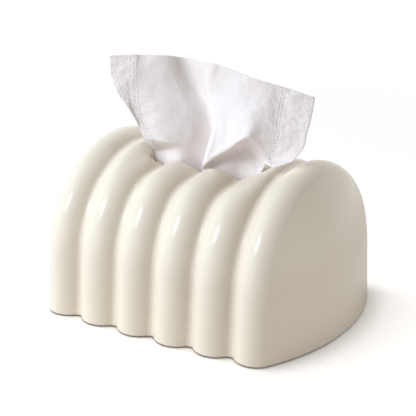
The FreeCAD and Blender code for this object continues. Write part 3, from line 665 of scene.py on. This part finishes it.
bond_tone = add_node(bonded, "ShaderNodeMix", {"data_type": "RGBA"}, _0=bond_cloud.outputs["Fac"],
                     _6=linear(paper_shade), _7=linear(paper_white))
crumple = add_node(bonded, "ShaderNodeTexNoise", Vector=sheet_spot.outputs[0],
                   Scale=1 / crumple_size, Detail=4.0)
crumple_share = add_node(bonded, "ShaderNodeMapRange", Value=either_side.outputs[0],
                         From_Min=crumple_start, From_Max=crumple_full, To_Min=crumple_least, To_Max=1.0)
crumple_height = add_node(bonded, "ShaderNodeMath", {"operation": "MULTIPLY"}, _0=crumple.outputs["Fac"],
                          _1=crumple_share.outputs["Result"])
crumple_bump = add_node(bonded, "ShaderNodeBump", Height=crumple_height.outputs[0], Strength=0.9,
                        Distance=crumple_depth)
dot_bump = add_node(bonded, "ShaderNodeBump", Height=dot_height.outputs[0],
                    Strength=0.8, Distance=dot_depth, Normal=crumple_bump.outputs["Normal"])
finish_material(bonded, add_node(
    bonded, "ShaderNodeBsdfPrincipled", Base_Color=bond_tone.outputs[2], Roughness=0.9, IOR=1.4,
    Specular_IOR_Level=0.2, Normal=dot_bump.outputs["Normal"]))

tissue = make_piece("pulled_tissue_sheet", sheet, bonded, smooth_angle=180)
solid = tissue.modifiers.new("ply", "SOLIDIFY")
solid.thickness = paper_gauge
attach(tissue, "sheet")
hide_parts("pulled_tissue")


# Stage: a white table that fades into a white room. Only the camera sees the table's own white, and a
# painted shade dims it in the narrow gap under the rim and close round the cover's foot.
floor_radius = 1.6
fade_start = 0.30
fade_end = 0.75
table_colour = "FAFAFA"
table_white_level = 0.46
painted_gap_shade_reach = 0.020

stage_floor = bmesh.new()
bmesh.ops.create_circle(stage_floor, cap_ends=True, segments=96, radius=floor_radius)
table_white = new_material("white_table")
table_place = add_node(table_white, "ShaderNodeTexCoord")
table_distance = add_node(table_white, "ShaderNodeVectorMath", {"operation": "LENGTH"},
                          _0=table_place.outputs["Object"])
table_fade = add_node(table_white, "ShaderNodeMapRange", Value=table_distance.outputs["Value"],
                      From_Min=fade_start, From_Max=fade_end)
table_paint = add_node(table_white, "ShaderNodeBsdfDiffuse", Color=linear(table_colour))
table_view = add_node(table_white, "ShaderNodeLightPath")
# Painted shade: ambient occlusion darkens the camera's white in the gap under the rim and beside the
# walls.
table_painted_gap_shade = add_node(table_white, "ShaderNodeAmbientOcclusion", {"samples": 8}, Distance=painted_gap_shade_reach)
table_seen = add_node(table_white, "ShaderNodeMath", {"operation": "MULTIPLY"},
                      _0=table_view.outputs["Is Camera Ray"], _1=table_painted_gap_shade.outputs["AO"])
table_level = add_node(table_white, "ShaderNodeMath", {"operation": "MULTIPLY"},
                       _0=table_seen.outputs[0], _1=table_white_level)
table_glow = add_node(table_white, "ShaderNodeEmission", Strength=table_level.outputs[0])
table_lit = add_node(table_white, "ShaderNodeAddShader",
                     _0=table_paint.outputs[0], _1=table_glow.outputs[0])
table_clear = add_node(table_white, "ShaderNodeBsdfTransparent")
finish_material(table_white, add_node(
    table_white, "ShaderNodeMixShader", _0=table_fade.outputs["Result"],
    _1=table_lit.outputs[0], _2=table_clear.outputs[0]))
floor = make_piece("table", stage_floor, table_white, smooth_angle=30)

# Lamps: a large window on the left and weak fills from the front, the right and behind light the
# object. The gloss mirrors only a small soft box, and a high lamp lights the table alone, so that
# the shadow stays short.
window_blue = (0.79, 0.88, 1.0)
fill_blue = (0.87, 0.915, 1.0)
table_lamp_blue = (0.97, 0.985, 1.0)
lamp_aim = Vector((0, 0, 0.08))

lit_object = bpy.data.collections.new("lit_object")
lit_table = bpy.data.collections.new("lit_table")
for item in bpy.context.scene.objects:
    if item.type == "MESH":
        (lit_table if item == floor else lit_object).objects.link(item)


def hang_lamp(name, azimuth, elevation, distance, size, power, colour, lit, mirrored=False):
    """A rectangular soft lamp that looks at the cover from a bearing and a height angle."""
    lamp = bpy.data.lights.new(name, "AREA")
    lamp.shape = "RECTANGLE"
    lamp.size, lamp.size_y = size
    lamp.energy = power
    lamp.color = colour
    holder = bpy.data.objects.new(name, lamp)
    bpy.context.scene.collection.objects.link(holder)
    holder.light_linking.receiver_collection = lit
    holder.visible_glossy = mirrored
    turn, lift = math.radians(azimuth), math.radians(elevation)
    away = Vector((math.sin(turn) * math.cos(lift), -math.cos(turn) * math.cos(lift), math.sin(lift)))
    holder.location = lamp_aim + away * distance
    holder.rotation_euler = away.to_track_quat("Z", "Y").to_euler()


hang_lamp("left_window", azimuth=-60, elevation=33, distance=1.5, size=(1.2, 1.2), power=21.6,
          colour=window_blue, lit=lit_object)
hang_lamp("front_fill", azimuth=-20, elevation=8, distance=1.5, size=(1.2, 0.5), power=5.4,
          colour=fill_blue, lit=lit_object)
hang_lamp("soft_box", azimuth=-35, elevation=33, distance=1.4, size=(0.24, 0.30), power=4.0,
          colour=window_blue, lit=lit_object, mirrored=True)
hang_lamp("right_fill", azimuth=98, elevation=5, distance=1.5, size=(1.0, 0.9), power=7.2,
          colour=fill_blue, lit=lit_object)
hang_lamp("back_fill", azimuth=200, elevation=28, distance=1.5, size=(1.2, 1.0), power=12.0,
          colour=fill_blue, lit=lit_object)
hang_lamp("table_lamp", azimuth=-65, elevation=73, distance=1.5, size=(0.7, 0.7), power=10.5,
          colour=table_lamp_blue, lit=lit_table)

# Room: a dim warm room to the object, and plain white to the camera and to what the gloss mirrors.
room_warm = (1.0, 0.90, 0.80, 1.0)
room_level = 0.27

room = bpy.data.worlds.new("white_room")
bpy.context.scene.world = room
room.use_nodes = True
room_light = room.node_tree.nodes["Background"]
room_light.inputs["Color"].default_value = room_warm
room_light.inputs["Strength"].default_value = room_level
room_white = add_node(room, "ShaderNodeBackground", Color=linear("FFFFFF"), Strength=1.0)
room_ray = add_node(room, "ShaderNodeLightPath")
room_mirrored = add_node(room, "ShaderNodeMath", {"operation": "MAXIMUM"},
                         _0=room_ray.outputs["Is Glossy Ray"], _1=room_ray.outputs["Is Transmission Ray"])
room_seen = add_node(room, "ShaderNodeMath", {"operation": "MAXIMUM"},
                     _0=room_ray.outputs["Is Camera Ray"], _1=room_mirrored.outputs[0])
room_mix = add_node(room, "ShaderNodeMixShader", _0=room_seen.outputs[0],
                    _1=room_light.outputs[0], _2=room_white.outputs[0])
room.node_tree.links.new(room_mix.outputs[0], room.node_tree.nodes["World Output"].inputs["Surface"])

# Camera: the photograph's own view, a little above the crown and to the right of the front.
view_azimuth = math.radians(32.185)
view_elevation = math.radians(19.887)
view_distance = 1.05925
view_side = -0.00208
view_height = 0.08009
focal_pixels = 1319.07
photo_pixels = 416
sensor_width = 36.0

camera_data = bpy.data.cameras.new("photo_camera")
camera_data.sensor_width = sensor_width
camera_data.lens = focal_pixels * sensor_width / photo_pixels
camera = bpy.data.objects.new("photo_camera", camera_data)
bpy.context.scene.collection.objects.link(camera)
sight = Vector((
    math.sin(view_azimuth) * math.cos(view_elevation),
    -math.cos(view_azimuth) * math.cos(view_elevation),
    math.sin(view_elevation),
))
sideways = Vector((math.cos(view_azimuth), math.sin(view_azimuth), 0))
camera.location = Vector((0, 0, view_height)) + sideways * view_side + sight * view_distance
camera.rotation_euler = sight.to_track_quat("Z", "Y").to_euler()
bpy.context.scene.camera = camera
bpy.context.scene.view_settings.view_transform = "Standard"
